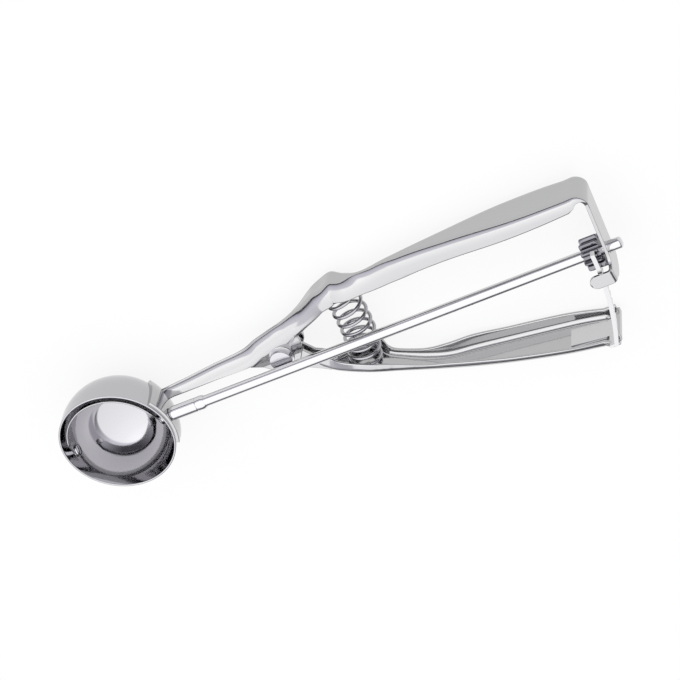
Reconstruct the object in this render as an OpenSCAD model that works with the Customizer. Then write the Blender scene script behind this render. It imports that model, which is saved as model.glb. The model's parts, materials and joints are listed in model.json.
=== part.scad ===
// Squeeze-handle ice cream scoop: a rack on the lever turns a pinion, and the rod sweeps a blade
// round the inside of the bowl. Each piece is drawn in the tool's frame: origin at the bowl's centre,
// +X along the rod, +Y towards the fixed handle, +Z out of the bowl. lay_down() then rests the tool
// on the ground with its origin under the middle of its box.

/* [Bowl] */
// Inside diameter of the bowl
bowl_id = 40.4; // [32:0.4:56]
// Wall of the bowl
bowl_wall = 0.8; // [0.6:0.1:1.2]
// Height of the straight collar above the half sphere
bowl_collar = 4.5; // [3.5:0.5:7]
// Thickness of the saddle plate on the bowl's outside
saddle_wall = 1.2; // [0.8:0.1:1.6]
// Half the saddle's wrap round the bowl, in degrees
saddle_wrap = 27; // [22:1:32]
// Depth of the saddle below the rod's axis
saddle_drop = 13; // [12:0.5:16]

/* [Sweep blade] */
// Width of the blade strip
blade_width = 8; // [6:0.5:9]
// Thickness of the blade strip
blade_wall = 0.6; // [0.5:0.1:1]
// Gap between the blade's edges and the inside of the bowl
blade_gap = 1.5; // [0.3:0.1:1.8]
// Diameter of the pin in the blade's far eye
pin_d = 2.4; // [2:0.1:3]

/* [Rod and gearing] */
// Diameter of the drive rod
rod_d = 4; // [3.5:0.1:4.4]
// Length of the rod's stub beyond the end plate
stub_length = 4.6; // [2:0.2:8]
// Length of the crimped ferrule
ferrule_length = 13.5; // [8:0.5:18]
// Wall of the crimped ferrule
ferrule_wall = 0.55; // [0.4:0.05:0.8]
// Gear module
gear_module = 1; // [0.8:0.05:1.1]
// Number of pinion teeth
pinion_teeth = 10; // [9:1:12]
// Face width of the pinion
pinion_width = 6.2; // [4:0.2:8]
// Number of rack teeth
rack_teeth = 9; // [8:1:10]
// Thickness of the rack strip
rack_wall = 1.5; // [1:0.1:2]

/* [Handles] */
// Distance from the bowl's centre to the handle pivot
pivot_x = 67.5; // [60:0.5:90]
// Distance from the handle pivot to the rack, half-way through its mesh
rack_radius = 118.5; // [100:0.5:145]
// Lean of the rack strip towards the bowl, in degrees
rack_lean = 4.5; // [0:0.5:5]
// Sheet thickness of both handles
sheet = 1.2; // [1:0.1:1.4]
// Outside width of the frame at the pivot
ear_width = 7.6; // [7:0.1:9]
// Widest part of the grip
grip_width = 18; // [14:0.2:22]
// Depth of the handles' middle plane below the rod's axis, from the neck to the spring
handle_drop = 9; // [8.8:0.1:10]
// Bend radius on the outside of the channels at the neck and the spring
bend_r = 3; // [2:0.1:3.2]
// Bend radius on the outside of the grips
grip_bend = 3.4; // [2.5:0.1:3.6]
// Width of the end plate
plate_width = 11.5; // [10:0.5:15]
// Lean of the end plate towards the bowl, in degrees
plate_lean = 6.6; // [0:0.2:10]
// Radius of the pivot ears
ear_r = 6.8; // [6:0.1:8]
// Diameter of the pivot rivet's shank
rivet_d = 4; // [3:0.1:5]
// Diameter of the rivet's drum head
rivet_head_d = 8.1; // [6:0.1:9]

/* [Return spring] */
// Outside diameter of the coil
spring_od = 12.4; // [9:0.2:12.6]
// Wire diameter
spring_wire = 1.3; // [1:0.05:1.5]
// Number of turns
spring_turns = 6.5; // [5:0.5:8]

/* [Fits] */
// Radial clearance of a shaft in its hole
running = 0.06; // [0.03:0.01:0.1]
// Clearance between sheet faces that slide past each other
slide_gap = 0.15; // [0.1:0.01:0.3]

/* [Hidden] */
$fn = 96;
eps = 0.01;
// Step that keeps the faces of fused sheets from falling on one plane
seam = 0.03;
steel = [0.76, 0.77, 0.79];
bright_steel = [0.86, 0.87, 0.88];
dark_steel = [0.52, 0.52, 0.56];

// Bowl, saddle and blade
bowl_ir = bowl_id / 2;
bowl_or = bowl_ir + bowl_wall;
saddle_or = bowl_or + saddle_wall;
rod_r = rod_d / 2;
pin_r = pin_d / 2;
blade_half = blade_width / 2;
blade_or = sqrt(pow(bowl_ir - blade_gap, 2) - blade_half * blade_half);
blade_ir = blade_or - blade_wall;
eye_half = blade_half * 0.62;
eye_reach = eye_half;
taper_reach = blade_half * 1.6;
spigot_r = rod_r - 0.5;
pin_head_r = pin_r + 0.9;
pin_head_h = 1.1;

// Gearing
pitch_r = gear_module * pinion_teeth / 2;
tooth_pitch = PI * gear_module;
pressure = 25;
addendum = 0.85 * gear_module;
dedendum = 1.1 * gear_module;
backlash = 0.16;
tip_r = pitch_r + addendum;
root_r = pitch_r - dedendum;
rack_back = 2.6;
rack_z = pitch_r - addendum;
rack_top = pitch_r + rack_back;
gear_ratio = rack_radius / pitch_r;
lever_swing = 180 / gear_ratio;

// Places along the tool
pivot_y = 2.2;
pivot = [pivot_x, pivot_y];
gear_x = pivot_x + sqrt(rack_radius * rack_radius - pivot_y * pivot_y);
pinion_x = gear_x - 0.4;
plate_x = gear_x + 3.9;
rod_end_x = plate_x + sheet + stub_length;
rod_start_x = blade_ir - 0.7;
ferrule_x = saddle_or + 0.3;
grip_length = plate_x - pivot_x;

// Heights of the stack on the pivot rivet, along Z
ear_z = -handle_drop;
ear_top = ear_z + ear_width / 2;
ear_bottom = ear_z - ear_width / 2;
washer_h = 0.5;
washer_r = rivet_head_d / 2 + 0.55;
rivet_head_h = 2.2;
lever_ear_width = ear_width - 2 * sheet - 2 * slide_gap;
rear_drop = handle_drop * 0.17;

function mix(a, b, u) = a + (b - a) * u;
function unit(v) = v / norm(v);
function neck(f) = pivot_x * f;
function grip(f) = pivot_x + grip_length * f;
// Depth of the handles' middle plane, from the spring hump to the end plate
function drop(f) = mix(handle_drop, rear_drop, max(0, (f - 0.27) / 0.73));
// A grip station's width, between the waist behind the spring and the widest place
function wide(f) = grip_width * f;
spring_width = spring_od + 2 * sheet + 0.8;

// Channel stations: [x, outer web y, middle plane z, width, near flange, far flange, outer bend]
flat = sheet + 0.06;
frame_line = [
    [neck(0.25), 3.9, -handle_drop, ear_width - 0.6, 2.6, 2.6, 2.4],
    [neck(0.44), 5.0, -handle_drop, ear_width - 0.6, 3.6, 3.6, 2.8],
    [neck(0.62), 6.3, -handle_drop, ear_width - 0.5, 4.6, 4.6, 2.9],
    [neck(0.80), 7.3, -handle_drop, ear_width, 5.6, 5.6, bend_r],
    [neck(0.90), 9.5, -handle_drop, ear_width, 6.6, 6.6, bend_r],
    [grip(0), 11.3, -handle_drop, ear_width, 7, 7, bend_r],
    [grip(0.05), 12.8, -handle_drop, ear_width, 7, 7, bend_r],
    [grip(0.11), 15.4, -handle_drop, ear_width + 1.6, 6.8, 6.9, bend_r],
    [grip(0.18), 19.4, -handle_drop, mix(ear_width, spring_width, 0.8), 6.2, 6.6, bend_r],
    [grip(0.24), 21.3, -handle_drop, spring_width, 6.2, 6.0, bend_r],
    [grip(0.28), 19.3, -drop(0.28), mix(ear_width, spring_width, 0.76), 5.8, 5.2, bend_r],
    [grip(0.33), 20.0, -drop(0.33), wide(0.46), 6.8, 6.4, grip_bend],
    [grip(0.42), 22.0, -drop(0.42), wide(0.44), 7.5, 7.5, grip_bend],
    [grip(0.50), 22.95, -drop(0.50), wide(0.52), 7.0, 7.0, grip_bend],
    [grip(0.60), 23.85, -drop(0.60), wide(0.64), 6.5, 6.5, grip_bend],
    [grip(0.72), 24.65, -drop(0.72), wide(0.82), 6.2, 6.2, grip_bend],
    [grip(0.80), 25.1, -drop(0.80), wide(0.895), 5.8, 5.8, grip_bend],
    [grip(0.90), 25.6, -drop(0.90), wide(0.905), 5.2, 5.2, grip_bend],
    [grip(0.972), 25.75, -drop(0.972), wide(0.87), 4.6, 4.6, grip_bend]
];
lever_line = [
    [grip(0.035), -4.2, -handle_drop, lever_ear_width, 4, 4, 1.6],
    [grip(0.07), -7.6, -handle_drop, lever_ear_width, 4.6, 4.8, 1.8],
    [grip(0.11), -11.4, -handle_drop + 0.6, lever_ear_width + 2.4, 5.4, 5.2, 2.4],
    [grip(0.16), -13.4, -handle_drop, mix(lever_ear_width, spring_width, 0.8), 5.1, 6.4, bend_r],
    [grip(0.205), -15.3, -handle_drop, spring_width, 4.7, 6.7, bend_r],
    [grip(0.23), -16.9, -handle_drop + 0.2, mix(lever_ear_width, spring_width, 0.91), 4.6, 5.8, bend_r],
    [grip(0.25), -18.3, -handle_drop + 0.9, mix(lever_ear_width, spring_width, 0.68), 4.5, 3.9, bend_r],
    [grip(0.28), -20.4, -drop(0.28) + 0.7, mix(lever_ear_width, spring_width, 0.55), 4.2, 3.1, bend_r],
    [grip(0.35), -24.6, -drop(0.35), wide(0.54), 3.9, 4.1, grip_bend],
    [grip(0.42), -27.2, -drop(0.42), wide(0.55), 4.2, 5.9, grip_bend],
    [grip(0.50), -28.85, -drop(0.50), wide(0.7), 4.2, 6.7, grip_bend],
    [grip(0.60), -30.8, -drop(0.60), wide(0.84), 4.0, 6.3, grip_bend],
    [grip(0.72), -32.85, -drop(0.72), wide(0.96), 3.9, 6.1, grip_bend],
    [grip(0.80), -34.05, -drop(0.80), wide(1.0), 3.7, 5.6, grip_bend],
    [grip(0.875), -35.2, -drop(0.875), wide(0.96), 3.7, 4.9, grip_bend]
];
lever_end = lever_line[len(lever_line) - 1];

// Catmull-Rom curve through the stations, every value of a station at once
function spline_at(p, i, u) =
    let (
        a = p[max(i - 1, 0)],
        b = p[i],
        c = p[i + 1],
        d = p[min(i + 2, len(p) - 1)],
        square = 2 * a - 5 * b + 4 * c - d,
        cube = 3 * b - 3 * c + d - a
    )
    0.5 * (2 * b + (c - a) * u + square * u * u + cube * u * u * u);
function spline(p, n) = concat(
    [for (i = [0 : len(p) - 2]) for (k = [0 : n - 1]) spline_at(p, i, k / n)],
    [p[len(p) - 1]]);

// The rack's arc passes the pivot's own arc half-way through the mesh and leans away from it there
mesh_y = -PI * pitch_r / 2;
mid_angle = asin((mesh_y - pivot_y) / rack_radius);
arc_x = pivot_x + rack_radius * (cos(mid_angle) - cos(mid_angle - rack_lean));
arc_y = pivot_y + rack_radius * (sin(mid_angle) - sin(mid_angle - rack_lean));
rack_top_y = 4;
rack_top_angle = asin((rack_top_y - arc_y) / rack_radius);
foot_drop = arc_y - lever_end[1] - sheet;
rack_low_angle = -asin(foot_drop / rack_radius);
rack_foot_x = arc_x + sqrt(rack_radius * rack_radius - foot_drop * foot_drop);
tooth_angle = tooth_pitch / rack_radius * 180 / PI;
mesh_angle = -asin(pivot_y / rack_radius);

// Corner from the frame's web into the end plate, as stations on an arc that ends square to the plate
corner_r = 4.5;
corner_steps = 6;
corner_tail = 1.5;
web_rise = 4;
corner_turn = 90 + web_rise + plate_lean;
frame_end = frame_line[len(frame_line) - 1];
corner_y = frame_end[1] + 0.15 - corner_r;
corner_x = plate_x + (sheet + seam - corner_r) / cos(plate_lean) + corner_y * tan(plate_lean);
plate_top = (corner_x - plate_x) * sin(plate_lean) + corner_y * cos(plate_lean) - corner_tail + 0.1;
// The flanges run out round the corner, down to the bend alone and then to the flat plate
function strap_station(x, y, u) =
    let (bend = mix(grip_bend, 0.3, min(1, u * 1.2)), flange = max(flat, bend + 0.06))
    [x, y, mix(frame_end[2], -rear_drop, u), mix(frame_end[3], plate_width, u), flange, flange, bend];
function corner_station(u) =
    let (a = 90 + web_rise - corner_turn * u)
    strap_station(corner_x + corner_r * cos(a), corner_y + corner_r * sin(a), u);
corner_end = corner_station(1);
tail_x = corner_end[0] - corner_tail * sin(plate_lean);
tail_y = corner_end[1] - corner_tail * cos(plate_lean);
frame_path = concat(
    spline(frame_line, 3),
    [for (k = [0 : corner_steps]) corner_station(k / corner_steps)],
    [strap_station(tail_x, tail_y, 1)]);

// The lever's floor runs straight to its rear lip, and the near flange stops short for the rack
lip_x = rack_foot_x + rack_wall / 2 + slide_gap;
notch_x = rack_foot_x - rack_wall / 2 - 1.6;
function lever_station(x, near, bend) =
    [x, lever_end[1], lever_end[2], lever_end[3], near, lever_end[5], bend];
lever_path = concat(
    spline(lever_line, 3),
    [lever_station(notch_x - 0.8, lever_end[4], lever_end[6]), lever_station(notch_x, flat, 0.8),
        lever_station(lip_x + sheet, flat, 0.8)]);

// One U-shaped section as [depth, across] pairs, from the near tip round the outside and back inside
arc_steps = 2;
function quarter(cd, cz, r, a0, a1) =
    [for (k = [0 : arc_steps]) let (a = mix(a0, a1, k / arc_steps)) [cd + r * cos(a), cz + r * sin(a)]];
function u_section(w, near, far, r) =
    let (h = w / 2, ri = max(r - sheet, 0.03))
    concat(
        [[near, h]],
        quarter(r, h - r, r, 90, 180),
        quarter(r, r - h, r, 180, 270),
        [[far, -h], [far, sheet - h]],
        quarter(sheet + ri, sheet + ri - h, ri, 270, 180),
        quarter(sheet + ri, h - sheet - ri, ri, 180, 90),
        [[near, h - sheet]]);

// A bent-up channel along a path; side is -1 where the web lies above the flanges, 1 where below
module channel(path, side) {
    count = len(path);
    rings = [for (i = [0 : count - 1])
        let (
            s = path[i],
            q = path[min(i + 1, count - 1)] - path[max(i - 1, 0)],
            t = unit([q[0], q[1]]),
            inward = side * [-t[1], t[0]]
        )
        [for (p = u_section(s[3], s[4], s[5], s[6]))
            [s[0] + inward[0] * p[0], s[1] + inward[1] * p[0], s[2] + p[1]]]];
    m = len(rings[0]);
    points = [for (ring = rings) for (p = ring) p];
    walls = [for (i = [0 : count - 2]) for (j = [0 : m - 1])
        let (a = i * m + j, b = i * m + (j + 1) % m) each [[a, b, b + m], [a, b + m, a + m]]];
    half = m / 2;
    caps = [for (j = [0 : half - 2])
        each [[j, m - 1 - j, j + 1], [j + 1, m - 1 - j, m - 2 - j]]];
    last = (count - 1) * m;
    ends = concat(caps, [for (f = caps) [f[0] + last, f[2] + last, f[1] + last]]);
    faces = concat(walls, ends);
    polyhedron(points, side < 0 ? faces : [for (f = faces) [f[0], f[2], f[1]]]);
}

module along_x(x, h, r) {
    translate([x, 0, 0]) rotate([0, 90, 0]) cylinder(h = h, r = r);
}

// A part turned about the rod's axis, from a list of [x, radius]
module turned(profile) {
    rotate([0, 90, 0]) rotate_extrude() polygon([for (p = profile) [p[1], p[0]]]);
}

// Rest on the ground: tilt about the bowl until the frame's hump over the spring touches too
rest_x = grip(0.24);
rest_z = -handle_drop - spring_width / 2;
rest_tilt = asin(bowl_or / norm([rest_x, rest_z])) - atan2(-rest_z, rest_x);
low_x = -(bowl_or + pin_head_h) * cos(rest_tilt);
high_x = rod_end_x * cos(rest_tilt) + rod_r * sin(rest_tilt);
web_top = corner_y + corner_r;
floor_low = lever_end[1];
module lay_down() {
    translate([-(low_x + high_x) / 2, -(web_top + floor_low) / 2, bowl_or])
        rotate([0, rest_tilt, 0])
            children();
}

module bowl() {
    color(bright_steel) lay_down() difference() {
        union() {
            sphere(bowl_or);
            cylinder(h = bowl_collar, r = bowl_or);
        }
        sphere(bowl_ir);
        cylinder(h = bowl_or + eps, r = bowl_ir);
        translate([0, 0, bowl_collar]) cylinder(h = bowl_or, r = bowl_or + 1);
        along_x(0, bowl_or + 1, rod_r + running);
        along_x(-bowl_or - 1, bowl_or, pin_r + running);
    }
}

module saddle_wedge() {
    reach = saddle_or + 4;
    linear_extrude(bowl_or * 3, center = true)
        polygon([[0, 0], [reach, -reach * tan(saddle_wrap)], [reach, reach * tan(saddle_wrap)]]);
}

module bowl_saddle() {
    rim_gap = 0.8;
    color(steel) lay_down() difference() {
        intersection() {
            union() {
                sphere(saddle_or);
                cylinder(h = bowl_collar - rim_gap, r = saddle_or);
            }
            translate([0, -bowl_or, -saddle_drop])
                cube([saddle_or + 1, 2 * bowl_or, saddle_drop + bowl_collar - rim_gap]);
            saddle_wedge();
        }
        sphere(bowl_or);
        cylinder(h = bowl_collar, r = bowl_or);
        along_x(bowl_ir, 2 * saddle_wall + bowl_wall, rod_r + 0.6);
    }
}

// Ear outline round the pivot, with its fillets into the flange
module frame_ear_outline() {
    translate(pivot) {
        circle(ear_r);
        polygon([[-12, 0.2], [-8, -1.6], [-0.66 * ear_r, -0.75 * ear_r], [0.8 * ear_r, -0.6 * ear_r],
            [8.2, -0.4], [9.6, 3.6], [9, 6.5], [4, 6.4], [-4, 4.6], [-12, 2.4]]);
    }
}

module lever_ear_outline() {
    translate(pivot) {
        circle(ear_r - 1.2);
        polygon([[-1.5, 1.5 - ear_r], [5, -8.6], [9.6, -11.4], [11.4, -7.6], [4.8, -1.6]]);
    }
}

// Outline of the end plate in its own plane: x runs down the plate, y across it, up out of the tool
tongue_y = 5.9;
tongue_half = 2.5;
tongue_z = rack_top + 0.3;
plate_bottom = 11;
module plate_outline(top) {
    near = -rear_drop + plate_width / 2 - seam;
    far = -rear_drop - plate_width / 2 + seam;
    tab_half = tongue_half - seam;
    tab_z = tongue_z + sheet - seam;
    foot_r = 4;
    polygon([
        [-top, near], [-top, far], [plate_bottom - foot_r, far], [plate_bottom - 1, far + foot_r * 0.7],
        [plate_bottom, far + foot_r + 1.5], [plate_bottom - 1.2, near], [tongue_y + tab_half, tab_z],
        [tongue_y - tab_half, tab_z], [tongue_y - tab_half - 1.2, near + 1.4], [0, near]]);
}

module end_plate() {
    translate([plate_x, 0, 0])
        rotate([90, 0, -90 - plate_lean])
            mirror([0, 0, 1]) linear_extrude(sheet) plate_outline(plate_top);
}

module guide_tongue() {
    length = 8.6;
    translate([plate_x + 0.4 - length, -tongue_y, tongue_z]) linear_extrude(sheet) {
        translate([tongue_half, 0]) circle(tongue_half);
        translate([tongue_half, -tongue_half]) square([length - tongue_half, 2 * tongue_half]);
    }
}

module frame_handle() {
    color(steel) lay_down() difference() {
        union() {
            channel(frame_path, -1);
            for (z = [ear_bottom, ear_top - sheet])
                translate([0, 0, z]) linear_extrude(sheet) frame_ear_outline();
            end_plate();
            guide_tongue();
        }
        sphere(saddle_or + eps);
        translate([pivot_x, pivot_y, ear_bottom - 1]) cylinder(h = ear_width + 2, r = rivet_d / 2);
        along_x(plate_x - 3, 8, rod_r + running);
    }
}

lever_ear_bottom = ear_z - lever_ear_width / 2;
lip_h = 2.7;
module lever_handle() {
    width = lever_end[3];
    color(steel) lay_down() difference() {
        union() {
            channel(lever_path, 1);
            for (z = [lever_ear_bottom, lever_ear_bottom + lever_ear_width - sheet])
                translate([0, 0, z]) linear_extrude(sheet) lever_ear_outline();
            translate([lip_x, lever_end[1] + 0.4, lever_end[2] - width / 2])
                cube([sheet, lip_h, rack_z - 0.3 - lever_end[2] + width / 2]);
        }
        translate([pivot_x, pivot_y, ear_bottom]) cylinder(h = ear_width, r = rivet_d / 2 + running);
    }
}

// One gap between rack teeth, opening downwards, with its middle at zero
module rack_gap() {
    half_pitch = tooth_pitch / 4 + backlash / 2;
    top = pitch_r + dedendum;
    low = rack_z - 0.5;
    function half_at(z) = half_pitch - (z - pitch_r) * tan(pressure);
    translate([-3 * rack_wall, 0, 0]) rotate([90, 0, 90]) linear_extrude(6 * rack_wall)
        polygon([[-half_at(low), low], [half_at(low), low], [half_at(top), top], [-half_at(top), top]]);
}

// Arc strip about the pivot with trapezoid teeth on its lower edge, and a foot on the lever floor
module rack() {
    foot_length = 17.5;
    foot_margin = 0.7;
    floor_half = lever_end[3] / 2 - lever_end[6] - foot_margin;
    foot_end = rack_foot_x + rack_wall / 2 - 0.1;
    foot_near = lever_end[2] + floor_half;
    side_step = 0.3;
    side_reach = rack_top - foot_near + 1 - side_step;
    // The foot's underside follows the lever's floor from station to station
    foot_start = rack_foot_x - foot_length;
    floor_line = [for (i = [1 : len(lever_path) - 2])
        let (s = lever_path[i], q = lever_path[i + 1] - lever_path[i - 1], t = unit([q[0], q[1]]))
        if (s[0] > foot_start && s[0] < rack_foot_x) [s[0] - t[1] * sheet, s[1] + t[0] * sheet]];
    under = concat(floor_line, [[foot_end, lever_end[1] + sheet]]);
    over = [for (i = [len(under) - 1 : -1 : 0]) [under[i][0], under[i][1] + sheet]];
    color(dark_steel) lay_down() difference() {
        union() {
            translate([arc_x, arc_y, rack_z]) rotate([0, 0, rack_low_angle])
                rotate_extrude(angle = rack_top_angle - rack_low_angle)
                    translate([rack_radius - rack_wall / 2, 0]) square([rack_wall, rack_top - rack_z]);
            translate([0, 0, foot_near - 2 * floor_half]) linear_extrude(2 * floor_half)
                polygon(concat(under, over));
            translate([notch_x + side_step, lever_end[1] + flat, foot_near - 1])
                cube([foot_end - notch_x - 2 * side_step, 2 * sheet - flat + seam, side_reach]);
        }
        for (i = [0 : rack_teeth - 1])
            translate([pivot_x, pivot_y, 0])
                rotate([0, 0, mesh_angle - tooth_angle * (i - 1)])
                    translate([rack_radius, 0, 0]) rack_gap();
        translate([rack_foot_x - 4 * rack_wall, lever_end[1] - sheet, 0])
            cube([8 * rack_wall, sheet + flat + seam, rack_top + 1]);
    }
}

// Involute pinion outline with a tooth centred on local +x
base_r = pitch_r * cos(pressure);
function inv_at(r) = let (a = acos(min(1, base_r / r))) tan(a) * 180 / PI - a;
tooth_half = 90 / pinion_teeth - backlash / pitch_r * 90 / PI;
function flank(r) = tooth_half + inv_at(pitch_r) - inv_at(max(r, base_r));
flank_steps = 4;
flank_radii = [for (k = [0 : flank_steps]) mix(base_r, tip_r, k / flank_steps)];
function polar(r, a) = [r * cos(a), r * sin(a)];
function tooth_points(a) = concat(
    [polar(root_r, a - flank(base_r) - 0.5)],
    [for (r = flank_radii) polar(r, a - flank(r))],
    [for (k = [flank_steps : -1 : 0]) polar(flank_radii[k], a + flank(flank_radii[k]))],
    [polar(root_r, a + flank(base_r) + 0.5)]);

module drive_pinion() {
    color(dark_steel) lay_down() translate([pinion_x - pinion_width / 2, 0, 0]) rotate([0, 90, 0])
        difference() {
            linear_extrude(pinion_width)
                polygon([for (i = [0 : pinion_teeth - 1]) each tooth_points(180 + i * 360 / pinion_teeth)]);
            translate([0, 0, -1]) cylinder(h = pinion_width + 2, r = rod_r);
        }
}

module drive_rod() {
    chamfer = 0.5;
    peen = 0.5;
    shoulder_x = blade_or + 0.02;
    peen_x = blade_ir - 0.13;
    color(bright_steel) lay_down() turned([
        [rod_start_x, 0], [rod_start_x, spigot_r], [peen_x, spigot_r + peen], [peen_x, spigot_r],
        [shoulder_x, spigot_r], [shoulder_x, rod_r], [rod_end_x - chamfer, rod_r],
        [rod_end_x, rod_r - chamfer], [rod_end_x, 0]]);
}

module rod_ferrule() {
    taper = 1.2;
    outer = rod_r + ferrule_wall;
    end_x = ferrule_x + ferrule_length;
    color(bright_steel) lay_down() turned([
        [ferrule_x, rod_r], [ferrule_x, outer], [end_x - taper, outer], [end_x, rod_r + 0.15],
        [end_x, rod_r]]);
}

module blade_side() {
    reach = bowl_or;
    rotate([90, 0, 90]) linear_extrude(3 * reach, center = true) polygon([
        [-eye_reach * 0.7, -eye_half * 0.7], [-eye_reach, 0], [-eye_reach * 0.7, eye_half * 0.7],
        [0, eye_half], [taper_reach, blade_half], [reach, blade_half], [reach, -blade_half],
        [taper_reach, -blade_half], [0, -eye_half]]);
}

module sweep_blade() {
    color(bright_steel) lay_down() difference() {
        intersection() {
            difference() {
                cylinder(h = blade_width, r = blade_or, center = true);
                cylinder(h = blade_width + 1, r = blade_ir, center = true);
            }
            blade_side();
        }
        along_x(blade_ir - 2, 4, spigot_r);
        along_x(-blade_or - 2, 4, pin_r + running);
    }
}

module blade_pin() {
    inner_x = slide_gap - blade_ir;
    outer_x = -bowl_or - eps;
    color(bright_steel) lay_down() turned([
        [outer_x - pin_head_h, 0], [outer_x - pin_head_h, pin_head_r - 0.8], [outer_x - 0.3, pin_head_r],
        [outer_x, pin_head_r], [outer_x, pin_r], [inner_x, pin_r], [inner_x, pin_head_r],
        [inner_x + 0.3, pin_head_r], [inner_x + 0.7, pin_head_r - 0.5], [inner_x + 0.7, 0]]);
}

module pivot_rivet() {
    chamfer = 0.3;
    far_h = 1.2;
    shank_r = rivet_d / 2;
    head_r = rivet_head_d / 2;
    head_z = ear_top + washer_h;
    color(bright_steel) lay_down() translate([pivot_x, pivot_y, 0]) rotate_extrude() polygon([
        [0, ear_bottom - far_h], [shank_r + 0.4, ear_bottom - far_h], [shank_r + 1.2, ear_bottom - 0.4],
        [shank_r + 1.2, ear_bottom], [shank_r, ear_bottom], [shank_r, head_z], [head_r, head_z],
        [head_r, head_z + rivet_head_h - chamfer], [head_r - chamfer, head_z + rivet_head_h],
        [0, head_z + rivet_head_h]]);
}

module pivot_washer() {
    color(steel) lay_down() translate([pivot_x, pivot_y, ear_top]) difference() {
        cylinder(h = washer_h, r = washer_r);
        translate([0, 0, -1]) cylinder(h = washer_h + 2, r = rivet_d / 2);
    }
}

// Spring: a helix about a curved axis, from the frame's web to the lever's floor
spring_top = [grip(0.245), 16.8];
spring_foot = [grip(0.203), -12.8];
spring_knee = [grip(0.245), -1.2];
spring_r = (spring_od - spring_wire) / 2;
wire_sides = 6;
turn_steps = 16;
spring_rings = spring_turns * turn_steps;
function axis_at(u) = (1 - u) * (1 - u) * spring_top + 2 * u * (1 - u) * spring_knee + u * u * spring_foot;
function axis_dir(u) = unit((1 - u) * (spring_knee - spring_top) + u * (spring_foot - spring_knee));
// The end turns lie close, so the climb is slow at both ends
function climb(s) = let (e = 0.8 / spring_turns) s < e ? s * 0.3 : s > 1 - e ? 1 - (1 - s) * 0.3
    : mix(e * 0.3, 1 - e * 0.3, (s - e) / (1 - 2 * e));
function wire_centre(s) =
    let (u = climb(s), c = axis_at(u), d = axis_dir(u), a = 360 * spring_turns * s)
    [c[0] + spring_r * cos(a) * -d[1], c[1] + spring_r * cos(a) * d[0], -handle_drop + spring_r * sin(a)];
function wire_ring(i) =
    let (
        s = i / spring_rings,
        p = wire_centre(s),
        t = unit(wire_centre(min(1, s + 0.001)) - wire_centre(max(0, s - 0.001))),
        c = axis_at(climb(s)),
        out = unit(p - [c[0], c[1], -handle_drop]),
        side = unit(cross(t, out)),
        up = cross(side, t)
    )
    [for (k = [0 : wire_sides - 1]) let (a = 360 * k / wire_sides)
        p + spring_wire / 2 * (cos(a) * up + sin(a) * side)];

module return_spring() {
    rings = [for (i = [0 : spring_rings]) wire_ring(i)];
    points = [for (ring = rings) for (p = ring) p];
    m = wire_sides;
    last = spring_rings * m;
    walls = [for (i = [0 : spring_rings - 1]) for (j = [0 : m - 1])
        let (a = i * m + j, b = i * m + (j + 1) % m) each [[a, b + m, b], [a, a + m, b + m]]];
    ends = [[for (j = [0 : m - 1]) j], [for (j = [m - 1 : -1 : 0]) last + j]];
    color(bright_steel) lay_down() polyhedron(points, concat(walls, ends));
}

bowl();
bowl_saddle();
frame_handle();
lever_handle();
rack();
drive_pinion();
drive_rod();
rod_ferrule();
sweep_blade();
blade_pin();
pivot_rivet();
pivot_washer();
return_spring();
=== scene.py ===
"""Looks of a squeeze-handle ice cream scoop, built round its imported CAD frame.

Shapes are drawn in millimetres in the tool's own frame: origin at the bowl's centre, +X along
the rod, +Y towards the fixed handle, +Z out of the bowl. The joints say how that lies in the row.
"""

import json
import math

import bmesh
import bpy
from mathutils import Matrix, Vector


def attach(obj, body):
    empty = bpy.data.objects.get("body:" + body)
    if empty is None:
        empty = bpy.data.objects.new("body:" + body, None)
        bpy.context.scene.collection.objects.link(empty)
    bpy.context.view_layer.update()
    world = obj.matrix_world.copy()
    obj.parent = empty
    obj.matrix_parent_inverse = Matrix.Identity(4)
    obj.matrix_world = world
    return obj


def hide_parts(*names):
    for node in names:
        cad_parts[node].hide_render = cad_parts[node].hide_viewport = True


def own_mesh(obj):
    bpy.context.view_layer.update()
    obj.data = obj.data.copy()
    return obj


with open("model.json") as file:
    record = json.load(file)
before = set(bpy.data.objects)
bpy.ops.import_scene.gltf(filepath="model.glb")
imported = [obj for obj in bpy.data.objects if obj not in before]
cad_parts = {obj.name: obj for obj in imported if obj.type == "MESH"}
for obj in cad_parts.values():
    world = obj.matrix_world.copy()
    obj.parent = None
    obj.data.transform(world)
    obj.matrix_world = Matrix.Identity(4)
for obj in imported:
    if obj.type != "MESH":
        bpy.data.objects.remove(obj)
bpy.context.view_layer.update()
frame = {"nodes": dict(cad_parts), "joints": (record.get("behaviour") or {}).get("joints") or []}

MM = 0.001
JOINTS = {joint["name"]: joint for joint in frame["joints"]}
ROD_AXIS = Vector(JOINTS["blade_turn"]["axis"]).normalized()
MOUTH_AXIS = Vector(JOINTS["lever_squeeze"]["axis"]).normalized()
SIDE_AXIS = MOUTH_AXIS.cross(ROD_AXIS)
ROD_JOINT_X = 100
BOWL_CENTRE = Vector(JOINTS["blade_turn"]["pos_m"]) - ROD_AXIS * ROD_JOINT_X * MM
TO_ROW = Matrix.Translation(BOWL_CENTRE) @ (
    Matrix((ROD_AXIS, SIDE_AXIS, MOUTH_AXIS)).transposed().to_4x4() @ Matrix.Scale(MM, 4)
)

# Bowl, saddle and blade, in mm
BOWL_R = 21.0
BOWL_WALL = 0.8
BOWL_COLLAR = 4.5
SADDLE_WALL = 1.2
SADDLE_WRAP = 27
SADDLE_DROP = 13
BLADE_R = 18.2672
BLADE_WALL = 0.6
BLADE_HALF = 4.0
PIN_R = 1.2

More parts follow.
